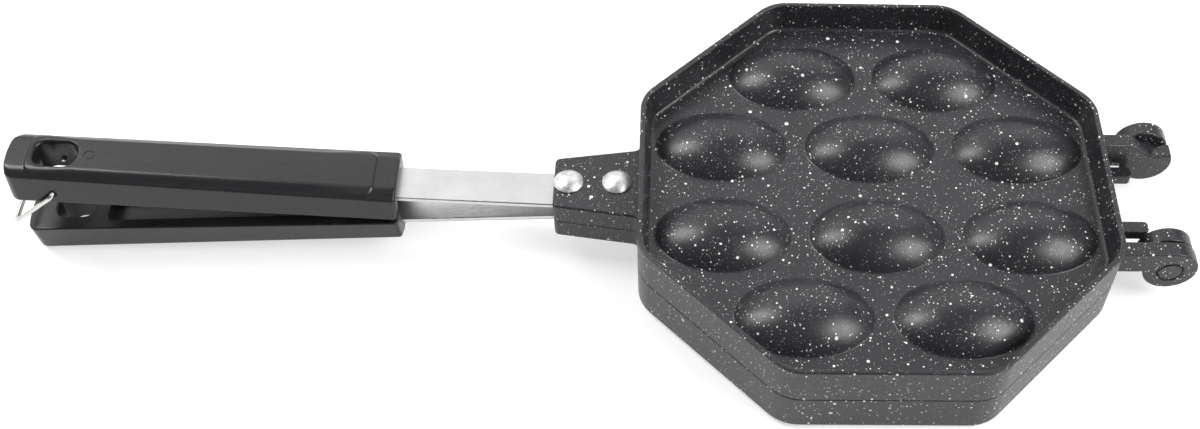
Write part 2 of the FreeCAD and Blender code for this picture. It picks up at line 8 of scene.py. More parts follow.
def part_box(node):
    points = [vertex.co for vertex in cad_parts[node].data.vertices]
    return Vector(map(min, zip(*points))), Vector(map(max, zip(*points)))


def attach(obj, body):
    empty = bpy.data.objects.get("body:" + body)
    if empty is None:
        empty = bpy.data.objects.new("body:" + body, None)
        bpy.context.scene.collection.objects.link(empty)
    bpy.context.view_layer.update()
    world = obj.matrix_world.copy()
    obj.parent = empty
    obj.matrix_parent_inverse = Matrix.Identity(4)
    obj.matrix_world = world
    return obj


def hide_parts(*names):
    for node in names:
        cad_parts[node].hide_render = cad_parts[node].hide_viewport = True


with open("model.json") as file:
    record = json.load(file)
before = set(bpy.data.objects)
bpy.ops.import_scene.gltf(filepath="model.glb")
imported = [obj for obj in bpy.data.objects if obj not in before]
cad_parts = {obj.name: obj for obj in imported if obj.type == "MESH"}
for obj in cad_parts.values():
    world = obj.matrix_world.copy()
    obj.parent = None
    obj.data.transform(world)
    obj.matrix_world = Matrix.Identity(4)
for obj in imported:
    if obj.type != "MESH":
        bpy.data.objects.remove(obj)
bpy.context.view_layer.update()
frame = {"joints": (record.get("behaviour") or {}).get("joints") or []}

# Egg waffle pan. Shapes are modelled in millimetres in the pan's own frame: the origin lies at the
# pan's centre on the parting plane, +X points to the hinge and +Z up. Every lower piece is the
# upper one turned half a turn about the X axis.

MM = 0.001
ARC_STEPS = 5
ROUND_SIDES = 48
RIM_STEPS = 4
MITRE_LIMIT = 0.3
WELD = 0.0005
TIP_R = 0.02
SMOOTH_ANGLE = math.radians(32)

# Cast body of one half
PAN_WIDTH = 180.0
HALF_HEIGHT = 17.6
CORNER_R = 16.0
RIM_WALL = 2.2
WALL_DRAFT = 1.1
FLOOR_HEIGHT = 5.3
FLOOR_FILLET = 1.9
RIM_ROUND = 0.6
PARTING_ROUND = 0.5
SEAL_BAND = 7.0
WEB_STEP = 1.2
WEB_EDGE = 0.2

# Egg bumps
BUMP_LENGTH = 51.4
BUMP_WIDTH = 34.8
BUMP_HEIGHT = 9.0
EGG_WALL = 3.0
EGG_SIDES = 72
EGG_LEVELS = 16
EGG_FOOT = 0.5
EGG_FOOT_SHARES = ((1, 0), (0.45, 0.12), (0.1, 0.4))
EGG_TOP_SHARE = 0.985
EGG_PITCH = 58.0
ROW_NEAR_MIDDLE = 21.6
ROW_OUTER = 58.6
EGG_ROWS = (
    (ROW_OUTER, (-0.5, 0.5)),
    (ROW_NEAR_MIDDLE, (-1.0, 0.0, 1.0)),
    (-ROW_NEAR_MIDDLE, (-1.0, 0.0, 1.0)),
    (-ROW_OUTER, (-0.5, 0.5)),
)

# Lug
LUG_LENGTH = 32.5
LUG_ROOT_WIDTH = 33.2
LUG_END_WIDTH = 23.6
LUG_HEIGHT = 9.0
LUG_EDGE = 1.0
LUG_CORNER_R = 2.2
LUG_FLARE = 2.4
LUG_GAP = 0.1
LUG_GAP_ROUND = 0.15

# Tang and rivets
TANG_WIDTH = 15.0
TANG_THICKNESS = 2.0
TANG_CLEAR = 0.1
TANG_TOP = 4.4
TANG_ROOT_LENGTH = 28.0
TANG_SLOPE = math.radians(3.25)
TANG_EXPOSED = 58.9
TANG_EDGE = 0.35
TANG_BEND_R = 12.0
RIVET_SHANK_R = 2.5
RIVET_HEAD_R = 5.6
RIVET_HEAD_EDGE = 0.5
RIVET_HEAD_HEIGHT = 2.6
RIVET_TAIL_R = 4.0
RIVET_TAIL_HEIGHT = 1.4
RIVET_TAIL_ROUND = 1.0
RIVET_HEAD_FOOT = 0.15
RIVET_DOME_SHARE = 0.99
RIVET_DOME_STEPS = 12
RIVET_END_DISTANCE = 5.6
RIVET_SPACING = 18.4
RIVET_CLEAR = 0.05

# Hinge
HINGE_REACH = 20.5
KNUCKLE_R = 10.3
KNUCKLE_RISE = 0.7
KNUCKLE_THICK = 6.3
KNUCKLE_GAP = 1.6
KNUCKLE_INNER_FACE = 19.3
KNUCKLE_EDGE = 0.7
KNUCKLE_STEPS = 40
ARM_GAP = 0.3
STUD_R = 4.75
STUD_CLEAR = 0.08
STUD_CHAMFER = 0.6
STUB_WIDTH = 5.1
STUB_HEIGHT = 5.0
STUB_END_R = 1.6
STUB_ROOT_R = 0.6
STUB_EDGE = 0.6
STUB_GAP = 1.2
STUB_AXIS_GAP = 6.1
NOTCH_START = 7.3
NOTCH_FLOOR = 3.8
NOTCH_FLOOR_OFFSET = 1.9
NOTCH_LIP = 5.4
NOTCH_LIP_OFFSET = 9.5

# Grip, in its own frame: along the tang, over the tang's top face
GRIP_LENGTH = 143.2
GRIP_BELOW_TANG = 4.8
GRIP_EDGE_AT_PAN = 3.3
GRIP_EDGE_AT_TAIL = 5.8
GRIP_INNER_WIDTH_AT_PAN = 26.6
GRIP_INNER_WIDTH_AT_TAIL = 23.3
GRIP_EDGE_WIDTH_AT_PAN = 24.4
GRIP_EDGE_WIDTH_AT_TAIL = 21.0
GRIP_FLAT_WIDTH = 15.0
GRIP_CROWN = 2.0
GRIP_FOOT_R = 0.7
GRIP_SHOULDER_R = 1.3
GRIP_CROWN_R = 5.0
GRIP_END_EDGE = 0.9
GRIP_PAN_CORNER_R = 1.6
GRIP_TAIL_CORNER_R = 3.0
GRIP_TAIL_BULGE = 1.6
TAIL_BULGE_FADE = 14.0
GRIP_CORNER_STEPS = 6
GRIP_SIDE_SPLITS = (6, 5, 8, 24, 8, 5)
END_CLOSING_SHARES = (0.15, 0.5, 0.85)
PANEL_RAISE = 0.6
PANEL_LEDGE = 0.5
PANEL_SLOPE = 0.8
PANEL_SIDE_SLOPE = 4.0
PANEL_FADE = 14.0
PANEL_FROM_PAN_END = 8.3
PANEL_FROM_TAIL = 7.5
PANEL_CORNER_R = 5.0
CHANNEL_FROM_TAIL = 30.5
SLOT_LENGTH = 15.4
SLOT_WIDTH = 11.4
SLOT_CORNER_R = 4.6
SLOT_FROM_TAIL = 17.6
SLOT_LIP = 1.3
SLOT_STEPS = 10
SLOT_LIP_STEPS = 6
MOUTH_EDGE = 0.5
CHANNEL_CORNER_R = 2.0
MARK_R = 2.0
MARK_LINE = 0.3
MARK_DEPTH = 0.22
MARK_ROOM = 1.0
MARK_FROM_TAIL = 30.0
TANG_IN_GRIP = 34.0

# Spacing of the grip's cross-sections
STATION_LEFT_OUT = 0.01
PAN_CORNER_ZONE = 1.5
TAIL_CORNER_ZONE = 3.0
PANEL_END_ZONE = 15.5
CORNER_STEP = 0.15
PANEL_END_STEP = 0.35
MIDDLE_STEP = 2.4

# Screw in the grip
SCREW_R = 1.75
SCREW_DEPTH = 5.0
SCREW_HEAD_R = 3.5
SCREW_HEAD_HEIGHT = 2.0
SCREW_HEAD_ROUND = 1.2
SCREW_FROM_PAN_END = 24.0
SCREW_DRIVE_R = 1.4
SCREW_DRIVE_DEPTH = 1.1

# Wire bail
WIRE_R = 0.85
WIRE_CLEAR = 0.08
WIRE_SIDES = 24
WIRE_BEND_STEPS = 8
WIRE_STRAIGHT = 0.0001
WIRE_END_SHARE = 0.6
WIRE_END_EDGE = 0.2975
BAIL_LEG = 23.5
BAIL_SWING = math.radians(50)
BAIL_SIDE_GAP = 0.35
BAIL_ELBOW_R = 1.9
BAIL_CORNER_R = 2.4
BAIL_PIN_SHOW = 1.2
BAIL_FROM_TAIL = 17.2
BAIL_BELOW_TANG_TOP = 1.9
PIVOT_FLARE = 0.7

# Places worked out from the sizes above
OVERRUN = 2.0
WALL_X = PAN_WIDTH / 2
AXIS_X = WALL_X + HINGE_REACH
LUG_END_X = -WALL_X - LUG_LENGTH
ARM_TOP = KNUCKLE_RISE + KNUCKLE_R
KNUCKLE_OUTER_INNER_FACE = KNUCKLE_INNER_FACE + KNUCKLE_THICK + KNUCKLE_GAP
KNUCKLE_OUTER_FACE = KNUCKLE_OUTER_INNER_FACE + KNUCKLE_THICK
GRIP_START = TANG_EXPOSED
GRIP_END = GRIP_START + GRIP_LENGTH
GRIP_INNER = -TANG_THICKNESS - GRIP_BELOW_TANG
CHANNEL_END = GRIP_END - CHANNEL_FROM_TAIL
TANG_END = GRIP_START + TANG_IN_GRIP


def joint_place(name):
    """Place of a joint in the row frame, in metres."""
    for joint in frame["joints"]:
        if joint["name"] == name:
            return Vector(joint["pos_m"])


PAN_CENTRE = joint_place("main_hinge") - Vector((AXIS_X * MM, 0, 0))
UPPER_PLACE = Matrix.Translation(PAN_CENTRE) @ Matrix.Scale(MM, 4)
LOWER_PLACE = UPPER_PLACE @ Matrix.Rotation(math.pi, 4, "X")
ALONG_TANG = Matrix.Translation((LUG_END_X, 0, TANG_TOP)) @ Matrix.Rotation(TANG_SLOPE, 4, "Y")


# Mesh helpers

def arc(centre_x, centre_y, radius, start, end, steps):
    """Points on an arc in a plane, angles in degrees."""
    points = []
    for step in range(steps + 1):
        angle = math.radians(start + (end - start) * step / steps)
        points.append((centre_x + radius * math.cos(angle), centre_y + radius * math.sin(angle)))
    return points


def rounded(points, radii, steps=ARC_STEPS):
    """Closed outline through the points, each corner turned by an arc of its own radius."""
    outline = []
    count = len(points)
    for i in range(count):
        corner = Vector(points[i])
        before = Vector(points[i - 1]) - corner
        after = Vector(points[(i + 1) % count]) - corner
        before.normalize()
        after.normalize()
        half_turn = before.angle(after) / 2
        if radii[i] == 0:
            outline.append(corner)
            continue
        centre = corner + (before + after).normalized() * (radii[i] / math.sin(half_turn))
        first = corner + before * (radii[i] / math.tan(half_turn)) - centre
        last = corner + after * (radii[i] / math.tan(half_turn)) - centre
        for step in range(steps + 1):
            outline.append(centre + first.slerp(last, step / steps).normalized() * radii[i])
    return outline


def inset_outline(outline, distance):
    """The outline moved inwards by a distance, with mitred corners. Counter-clockwise outlines only."""
    moved = []
    count = len(outline)
    for i in range(count):
        here = Vector(outline[i])
        into = (here - Vector(outline[i - 1])).normalized()
        out = (Vector(outline[(i + 1) % count]) - here).normalized()
        normal_in = Vector((-into.y, into.x))
        normal_out = Vector((-out.y, out.x))
        mitre = (normal_in + normal_out).normalized()
        moved.append(here + mitre * (distance / max(mitre.dot(normal_in), MITRE_LIMIT)))
    return moved


def round_levels(low, high, edge_low, edge_high, steps=RIM_STEPS):
    """(height, inset) pairs of a prism with rounded rims."""
    levels = []
    for step in range(steps + 1):
        angle = math.pi / 2 * step / steps
        if edge_low:
            levels.append((low + edge_low * (1 - math.sin(angle)), edge_low * (1 - math.cos(angle))))
    levels.reverse()
    if not edge_low:
        levels.append((low, 0))
    for step in range(steps + 1):
        angle = math.pi / 2 * step / steps
        if edge_high:
            levels.append((high - edge_high * (1 - math.sin(angle)), edge_high * (1 - math.cos(angle))))
    if not edge_high:
        levels.append((high, 0))
    return levels


def bridge(bm, one, other):
    for i in range(len(one)):
        bm.faces.new((one[i - 1], one[i], other[i], other[i - 1]))


def ring_stack(rings, closed=True):
    """Mesh through rings of 3-D points that have their corners in the same order."""
    bm = bmesh.new()
    made = []
    for ring in rings:
        made.append([bm.verts.new(point) for point in ring])
    for one, other in zip(made, made[1:]):
        bridge(bm, one, other)
    if closed:
        bm.faces.new(made[0])
        bm.faces.new(made[-1])
    bmesh.ops.recalc_face_normals(bm, faces=bm.faces)
    return bm


def upright(outline, levels):
    """Prism along +Z over an outline in the XY plane."""
    rings = []
    for height, inset in levels:
        rings.append([(p.x, p.y, height) for p in inset_outline(outline, inset)])
    return ring_stack(rings)


def sideways(outline, levels):
    """Prism along Y over an outline in the XZ plane."""
    rings = []
    for height, inset in levels:
        rings.append([(p.x, height, p.y) for p in inset_outline(outline, inset)])
    return ring_stack(rings)


def lathe(profile, sides=ROUND_SIDES):
    """Solid of (radius, height) pairs about the Z axis."""
    rings = []
    for radius, height in profile:
        ring = []
        for i in range(sides):
            angle = 2 * math.pi * i / sides
            ring.append((radius * math.cos(angle), radius * math.sin(angle), height))
        rings.append(ring)
    return ring_stack(rings)


def box(low, high):
    outline = [
        Vector((low[0], low[1])),
        Vector((high[0], low[1])),
        Vector((high[0], high[1])),
        Vector((low[0], high[1])),
    ]
    return upright(outline, [(low[2], 0), (high[2], 0)])


def moved(bm, matrix):
    bmesh.ops.transform(bm, matrix=matrix, verts=bm.verts)
    return bm


def loose_object(name, bm):
    mesh = bpy.data.meshes.new(name)
    bm.to_mesh(mesh)
    bm.free()
    piece = bpy.data.objects.new(name, mesh)
    bpy.context.scene.collection.objects.link(piece)
    return piece


def combined(base, added, cut):
    """Base with the added meshes fused to it and the cut ones taken away. All are bmeshes."""
    body = loose_object("body", base)
    tools = []
    for operation, meshes in (("UNION", added), ("DIFFERENCE", cut)):
        for bm in meshes:
            tool = loose_object("tool", bm)
            modifier = body.modifiers.new("join", "BOOLEAN")
            modifier.operation = operation
            modifier.solver = "MANIFOLD"
            modifier.object = tool
            tools.append(tool)
    graph = bpy.context.evaluated_depsgraph_get()
    result = bmesh.new()
    result.from_mesh(body.evaluated_get(graph).to_mesh())
    bmesh.ops.dissolve_degenerate(result, dist=WELD, edges=result.edges)
    for piece in tools + [body]:
        mesh = piece.data
        bpy.data.objects.remove(piece)
        bpy.data.meshes.remove(mesh)
    return result


def finished(name, bm, place, body, material, replaced):
    """Piece of the scene from a mesh in millimetres: placed, shaded, and tied to its body."""
    moved(bm, place)
    bmesh.ops.recalc_face_normals(bm, faces=bm.faces)
    piece = loose_object(name, bm)
    for polygon in piece.data.polygons:
        polygon.use_smooth = True
    piece.data.set_sharp_from_angle(angle=SMOOTH_ANGLE)
    weights = piece.modifiers.new("normals", "WEIGHTED_NORMAL")
    weights.keep_sharp = True
    piece.data.materials.append(material)
    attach(piece, body)
    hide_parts(*replaced)
    return piece


# Casting

def octagon(inset, z):
    """Rounded octagon, moved in from the pan's outer wall."""
    radius = CORNER_R - inset
    centre_distance = (PAN_WIDTH / 2 - CORNER_R) / math.cos(math.pi / 8)
    points = []
    for corner in range(8):
        middle = math.pi / 8 + math.pi / 4 * corner
        centre = Vector((math.cos(middle), math.sin(middle))) * centre_distance
        for step in range(ARC_STEPS * 2 + 1):
            angle = middle - math.pi / 8 + math.pi / 4 * step / (ARC_STEPS * 2)
            point = centre + Vector((math.cos(angle), math.sin(angle))) * radius
            points.append((point.x, point.y, z))
    return points


def quarter(inset, z, radius, start, end, steps=3):
    """(inset, z) pairs on an arc round a point of the casting's cross-section."""
    return arc(inset, z, radius, start, end, steps)


def skirt_profile():
    """(inset, z) pairs from the web's edge over the sealing band and the rim to the floor."""
    slope = WALL_DRAFT / (HALF_HEIGHT - FLOOR_HEIGHT)
    floor_inset = RIM_WALL + WALL_DRAFT
    lean = math.degrees(math.atan(slope))
    fillet_z = FLOOR_HEIGHT + FLOOR_FILLET
    fillet_inset = floor_inset + FLOOR_FILLET
    profile = [(SEAL_BAND, WEB_STEP), (SEAL_BAND, WEB_EDGE), (SEAL_BAND - WEB_EDGE, 0)]
    profile += quarter(PARTING_ROUND, PARTING_ROUND, PARTING_ROUND, -90, -180)
    profile += quarter(RIM_ROUND, HALF_HEIGHT - RIM_ROUND, RIM_ROUND, 180, 90)
    profile += quarter(RIM_WALL - RIM_ROUND, HALF_HEIGHT - RIM_ROUND, RIM_ROUND, 90, 0)
    profile += quarter(fillet_inset, fillet_z, FLOOR_FILLET, 180 - lean, 270, 6)
    return profile


def egg_rings(length, width, height, foot_z, centre):
    """Rings of one egg cap, from its foot on a flat face to near its top."""
    half = width / 2
    radius = (half * half + height * height) / (2 * height)
    foot_angle = math.asin(half / radius)
    rings = []
    for out_share, rise_share in EGG_FOOT_SHARES:
        outset = EGG_FOOT * out_share
        rings.append((length / 2 + outset, half + outset, EGG_FOOT * rise_share))
    for level in range(EGG_LEVELS):
        angle = EGG_TOP_SHARE * (1 - level / EGG_LEVELS) * foot_angle
        size = math.sin(angle) / math.sin(foot_angle)
        rings.append((length / 2 * size, half * size, height - radius * (1 - math.cos(angle))))
    made = []
    for half_length, half_width, rise in rings:
        ring = []
        for i in range(EGG_SIDES):
            angle = 2 * math.pi * i / EGG_SIDES
            ring.append((
                centre[0] + half_length * math.cos(angle),
                centre[1] + half_width * math.sin(angle),
                foot_z + rise,
            ))
        made.append(ring)
    return made, (centre[0], centre[1], foot_z + height)


def add_egg(bm, rings, top):
    """Adds one egg cap to the mesh and returns the edges of its foot."""
    made = []
    for ring in rings:
        made.append([bm.verts.new(point) for point in ring])
    for one, other in zip(made, made[1:]):
        bridge(bm, one, other)
    tip = bm.verts.new(top)
    last = made[-1]
    for i in range(len(last)):
        bm.faces.new((last[i - 1], last[i], tip))
    foot = made[0]
    return [bm.edges.get((foot[i - 1], foot[i])) for i in range(len(foot))]


def casting_shell():
    """Octagonal tray with egg bumps outside and egg cavities inside."""
    bm = bmesh.new()
    made = []
    for inset, z in skirt_profile():
        made.append([bm.verts.new(point) for point in octagon(inset, z)])
    for one, other in zip(made, made[1:]):
        bridge(bm, one, other)
    web_edges = [bm.edges.get((made[0][i - 1], made[0][i])) for i in range(len(made[0]))]
    floor_edges = [bm.edges.get((made[-1][i - 1], made[-1][i])) for i in range(len(made[-1]))]
    cavity_height = FLOOR_HEIGHT + BUMP_HEIGHT - EGG_WALL - WEB_STEP
    for row_y, column_shares in EGG_ROWS:
        for share in column_shares:
            centre = (share * EGG_PITCH, row_y)
            rings, top = egg_rings(BUMP_LENGTH, BUMP_WIDTH, BUMP_HEIGHT, FLOOR_HEIGHT, centre)
            floor_edges += add_egg(bm, rings, top)
            rings, top = egg_rings(
                BUMP_LENGTH - 2 * EGG_WALL,
                BUMP_WIDTH - 2 * EGG_WALL,
                cavity_height,
                WEB_STEP,
                centre,
            )
            web_edges += add_egg(bm, rings, top)
    for edges in (floor_edges, web_edges):
        bmesh.ops.triangle_fill(bm, edges=edges, use_beauty=True)
    bmesh.ops.recalc_face_normals(bm, faces=bm.faces)
    return bm


def lug_solid():
    """Tapered lug with a flared root, rounded along its top edges."""
    root_x = -WALL_X + RIM_WALL / 2
    end_half = LUG_END_WIDTH / 2
    root_half = LUG_ROOT_WIDTH / 2
    taper = (root_half - end_half) / LUG_LENGTH
    flare = []
    for step in range(ARC_STEPS + 1):
        angle = math.pi / 2 * step / ARC_STEPS
        x = -WALL_X - LUG_FLARE * (1 - math.sin(angle))
        half = root_half - taper * (-WALL_X - x) + LUG_FLARE * (1 - math.cos(angle))
        flare.append((x, half))
    corners = [(LUG_END_X, end_half), (LUG_END_X, -end_half)]
    near = [(x, -half) for x, half in flare]
    far = [(x, half) for x, half in reversed(flare)]
    ends = [(root_x, near[-1][1]), (root_x, far[0][1])]
    points = near + ends + far + corners
    radii = [0] * (len(points) - 2) + [LUG_CORNER_R, LUG_CORNER_R]
    outline = rounded(points, radii)
    return upright(outline, round_levels(LUG_GAP, LUG_HEIGHT, LUG_GAP_ROUND, LUG_EDGE))


def tang_pocket():
    half = TANG_WIDTH / 2 + TANG_CLEAR
    end = LUG_END_X + TANG_ROOT_LENGTH + TANG_CLEAR
    return box((LUG_END_X - OVERRUN, -half, LUG_GAP - OVERRUN), (end, half, TANG_TOP))


def rivet_places():
    first = LUG_END_X + RIVET_END_DISTANCE
    return (first, first + RIVET_SPACING)


def knuckle_outline(with_notch):
    """Arm and disc in the XZ plane, counter-clockwise from the arm's foot."""
    root_x = WALL_X - RIM_WALL / 2
    drop = KNUCKLE_RISE - ARM_GAP
    foot_x = AXIS_X - math.sqrt(KNUCKLE_R * KNUCKLE_R - drop * drop)
    start = -180 + math.degrees(math.asin(drop / KNUCKLE_R))
    outline = [(root_x, ARM_GAP), (foot_x, ARM_GAP)]
    lip_slope = (NOTCH_LIP - NOTCH_FLOOR) / (NOTCH_LIP_OFFSET - NOTCH_FLOOR_OFFSET)
    end = 90
    if with_notch:
        low = NOTCH_FLOOR - KNUCKLE_RISE - lip_slope * NOTCH_FLOOR_OFFSET
        size = 1 + lip_slope * lip_slope
        half_b = low * lip_slope
        lip_x = (-half_b + math.sqrt(half_b * half_b - size * (low * low - KNUCKLE_R ** 2))) / size
        end = math.degrees(math.atan2(low + lip_slope * lip_x, lip_x))
    outline += arc(AXIS_X, KNUCKLE_RISE, KNUCKLE_R, start, end, KNUCKLE_STEPS)[1:]
    if with_notch:
        outline.append((AXIS_X + NOTCH_FLOOR_OFFSET, NOTCH_FLOOR))
        outline.append((AXIS_X - NOTCH_START, ARM_TOP))
    outline.append((root_x, ARM_TOP))
    return [Vector(point) for point in outline]


def hinge_parts():
    """(solids to add, solids to cut) on the hinge side."""
    edge = KNUCKLE_EDGE
    outer = sideways(
        knuckle_outline(False),
        round_levels(-KNUCKLE_OUTER_FACE, -KNUCKLE_OUTER_INNER_FACE, edge, edge),
    )
    inner = sideways(
        knuckle_outline(True),
        round_levels(KNUCKLE_INNER_FACE, KNUCKLE_INNER_FACE + KNUCKLE_THICK, edge, edge),
    )
    along_y = Matrix.Translation((AXIS_X, 0, 0)) @ Matrix.Rotation(-math.pi / 2, 4, "X")
    stud_from = KNUCKLE_INNER_FACE + KNUCKLE_THICK / 2
    stud = moved(
        lathe([
            (STUD_R, stud_from),
            (STUD_R, KNUCKLE_OUTER_FACE - STUD_CHAMFER),
            (STUD_R - STUD_CHAMFER, KNUCKLE_OUTER_FACE),
        ]),
        along_y,
    )
    stub_far = KNUCKLE_INNER_FACE - STUB_GAP
    root_x = WALL_X - RIM_WALL / 2
    stub_end = AXIS_X - STUB_AXIS_GAP
    points = [
        (root_x, -stub_far),
        (stub_end, -stub_far),
        (stub_end, -stub_far + STUB_WIDTH),
        (root_x, -stub_far + STUB_WIDTH),
    ]
    outline = rounded(points, [STUB_ROOT_R, STUB_END_R, STUB_END_R, STUB_ROOT_R])
    stub = upright(outline, round_levels(ARM_GAP, STUB_HEIGHT, ARM_GAP, STUB_EDGE))
    hole_r = STUD_R + STUD_CLEAR
    hole = moved(
        lathe([
            (hole_r + STUD_CHAMFER + OVERRUN, -KNUCKLE_OUTER_FACE - OVERRUN),
            (hole_r + STUD_CHAMFER, -KNUCKLE_OUTER_FACE),
            (hole_r, -KNUCKLE_OUTER_FACE + STUD_CHAMFER),
            (hole_r, -KNUCKLE_OUTER_INNER_FACE + OVERRUN),
        ]),
        along_y,
    )
    return [outer, inner, stud, stub], [hole]


def casting():
    """One cast half, upper way up."""
    added, cut = hinge_parts()
    added.append(lug_solid())
    cut.append(tang_pocket())
    for x in rivet_places():
        radius = RIVET_SHANK_R + RIVET_CLEAR
        hole = lathe([(radius, 0), (radius, LUG_HEIGHT + OVERRUN)])
        cut.append(moved(hole, Matrix.Translation((x, 0, 0))))
    return combined(casting_shell(), added, cut)


# Tang, rivets and screw

def rivet():
    """Round head over the lug, shank, and a flatter tail under the tang."""
    top = LUG_HEIGHT
    under = TANG_TOP - TANG_THICKNESS
    rise = RIVET_HEAD_HEIGHT - RIVET_HEAD_EDGE
    ball_r = (RIVET_HEAD_R ** 2 + rise * rise) / (2 * rise)
    tail_z = under - RIVET_TAIL_HEIGHT
    profile = [(TIP_R, tail_z)]
    tail_round = RIVET_TAIL_ROUND
    profile += arc(RIVET_TAIL_R - tail_round, tail_z + tail_round, tail_round, -90, 0, ARC_STEPS)
    profile += [(RIVET_TAIL_R, under), (RIVET_SHANK_R, under), (RIVET_SHANK_R, top)]
    profile += [(RIVET_HEAD_R - RIVET_HEAD_FOOT, top), (RIVET_HEAD_R, top + RIVET_HEAD_FOOT)]
    for step in range(RIVET_DOME_STEPS + 1):
        share = RIVET_DOME_SHARE * (1 - step / RIVET_DOME_STEPS)
        radius = RIVET_HEAD_R * share + TIP_R
        drop = ball_r - math.sqrt(ball_r * ball_r - radius * radius)
        profile.append((radius, top + RIVET_HEAD_HEIGHT - drop))
    return lathe(profile)


def tang():
    """Steel strip, flat in the lug and bent outwards to the grip, with rounded long edges."""
    outwards = Vector((-math.cos(TANG_SLOPE), math.sin(TANG_SLOPE)))
    under = Vector((-math.sin(TANG_SLOPE), -math.cos(TANG_SLOPE))) * TANG_THICKNESS
    bend = Vector((LUG_END_X, TANG_TOP))
    inner_bend = bend + Vector((-math.tan(TANG_SLOPE / 2), -1)) * TANG_THICKNESS
    end = bend + outwards * TANG_END
    root = Vector((LUG_END_X + TANG_ROOT_LENGTH, TANG_TOP))
    points = [root, bend, end, end + under, inner_bend, root - Vector((0, TANG_THICKNESS))]
    outline = rounded(points, [TANG_EDGE, TANG_BEND_R, TANG_EDGE] * 2, 6)
    half = TANG_WIDTH / 2
    strip = sideways(outline, round_levels(-half, half, TANG_EDGE, TANG_EDGE, 3))
    holes = []
    for x in rivet_places():
        radius = RIVET_SHANK_R + RIVET_CLEAR
        hole = lathe([(radius, 0), (radius, TANG_TOP + OVERRUN)])
        holes.append(moved(hole, Matrix.Translation((x, 0, 0))))
    return combined(strip, [], holes)


def grip_screw():
    """Pan-headed screw with a cross recess, from the open side of the grip."""
    x = -(GRIP_START + SCREW_FROM_PAN_END)
    under = -TANG_THICKNESS
    low = under - SCREW_HEAD_HEIGHT
    head_round = SCREW_HEAD_ROUND
    profile = [(TIP_R, low)]
    profile += arc(SCREW_HEAD_R - head_round, low + head_round, head_round, -90, 0, 6)
    profile += [(SCREW_HEAD_R, under), (SCREW_R, under), (SCREW_R, SCREW_DEPTH)]
    body = moved(lathe(profile), Matrix.Translation((x, 0, 0)))
    arm = 2 * SCREW_DRIVE_R
    thin = SCREW_DRIVE_R / 2
    high = low + SCREW_DRIVE_DEPTH
    cuts = [
        box((x - arm / 2, -thin / 2, low - OVERRUN), (x + arm / 2, thin / 2, high)),
        box((x - thin / 2, -arm / 2, low - OVERRUN), (x + thin / 2, arm / 2, high)),
    ]
    return moved(combined(body, [], cuts), ALONG_TANG)


# Grip

def blend(at_pan, at_tail, along):
    share = (along - GRIP_START) / GRIP_LENGTH
    return at_pan + (at_tail - at_pan) * share


def ease(value):
    value = min(max(value, 0.0), 1.0)
    return value * value * (3 - 2 * value)


def corner_loss(distance, radius):
    """How far a rounded edge lies inside its sharp one, at a distance from the end."""
    if distance >= radius:
        return 0.0
    gap = radius - max(distance, 0.0)
    return radius - math.sqrt(radius * radius - gap * gap)


def section_samples(along):
    """Cross-section of the grip as (y, z) points, the same number at every station."""
    inner = blend(GRIP_INNER_WIDTH_AT_PAN, GRIP_INNER_WIDTH_AT_TAIL, along) / 2
    edge = blend(GRIP_EDGE_WIDTH_AT_PAN, GRIP_EDGE_WIDTH_AT_TAIL, along) / 2
    edge_z = blend(GRIP_EDGE_AT_PAN, GRIP_EDGE_AT_TAIL, along)
    flat = GRIP_FLAT_WIDTH / 2
    top = edge_z + GRIP_CROWN
    points = [
        (-inner, GRIP_INNER),
        (inner, GRIP_INNER),
        (edge, edge_z),
        (flat, top),
        (-flat, top),
        (-edge, edge_z),
    ]
    radii = [GRIP_FOOT_R, GRIP_FOOT_R, GRIP_SHOULDER_R, GRIP_CROWN_R, GRIP_CROWN_R, GRIP_SHOULDER_R]
    outline = rounded(points, radii, GRIP_CORNER_STEPS)
    samples = []
    per_corner = GRIP_CORNER_STEPS + 1
    for corner in range(len(points)):
        arc_points = outline[corner * per_corner:(corner + 1) * per_corner]
        samples += arc_points
        following = outline[((corner + 1) * per_corner) % len(outline)]
        splits = GRIP_SIDE_SPLITS[corner]
        for step in range(1, splits):
            samples.append(arc_points[-1].lerp(following, step / splits))
    return samples


def panel_raise(along, y):
    """How far the panel lifts the grip's top at a place."""
    half = blend(GRIP_EDGE_WIDTH_AT_PAN, GRIP_EDGE_WIDTH_AT_TAIL, along) / 2 - PANEL_LEDGE
    side = half - abs(y)
    end = min(along - GRIP_START - PANEL_FROM_PAN_END, GRIP_END - PANEL_FROM_TAIL - along)
    if side < PANEL_CORNER_R and end < PANEL_CORNER_R:
        inside = PANEL_CORNER_R - math.hypot(PANEL_CORNER_R - side, PANEL_CORNER_R - end)
    else:
        inside = min(side, end)
    soft = ease((end - PANEL_CORNER_R) / PANEL_FADE)
    side_slope = PANEL_SLOPE + (PANEL_SIDE_SLOPE - PANEL_SLOPE) * soft
    return PANEL_RAISE * ease(inside / PANEL_SLOPE) * ease(side / side_slope)


def bowed(along, y):
    """Place along the grip with its tail bowed outwards in the middle."""
    half = GRIP_INNER_WIDTH_AT_TAIL / 2
    bow = 1 - min(1.0, abs(y) / half) ** 2
    near_tail = ease((along - (GRIP_END - TAIL_BULGE_FADE)) / TAIL_BULGE_FADE)
    kept_share = 1 - near_tail + bow * near_tail
    return along - GRIP_TAIL_BULGE + GRIP_TAIL_BULGE * kept_share


def stations():
    """Places along the grip: close together where the form turns."""
    places = []
    place = GRIP_START
    while place < GRIP_END - STATION_LEFT_OUT:
        places.append(place)
        from_pan = place - GRIP_START
        from_tail = GRIP_END - place
        if from_pan < PAN_CORNER_ZONE or from_tail < TAIL_CORNER_ZONE:
            place += CORNER_STEP
        elif min(from_pan, from_tail) < PANEL_END_ZONE:
            place += PANEL_END_STEP
        else:
            place += MIDDLE_STEP
    places.append(GRIP_END)
    return places


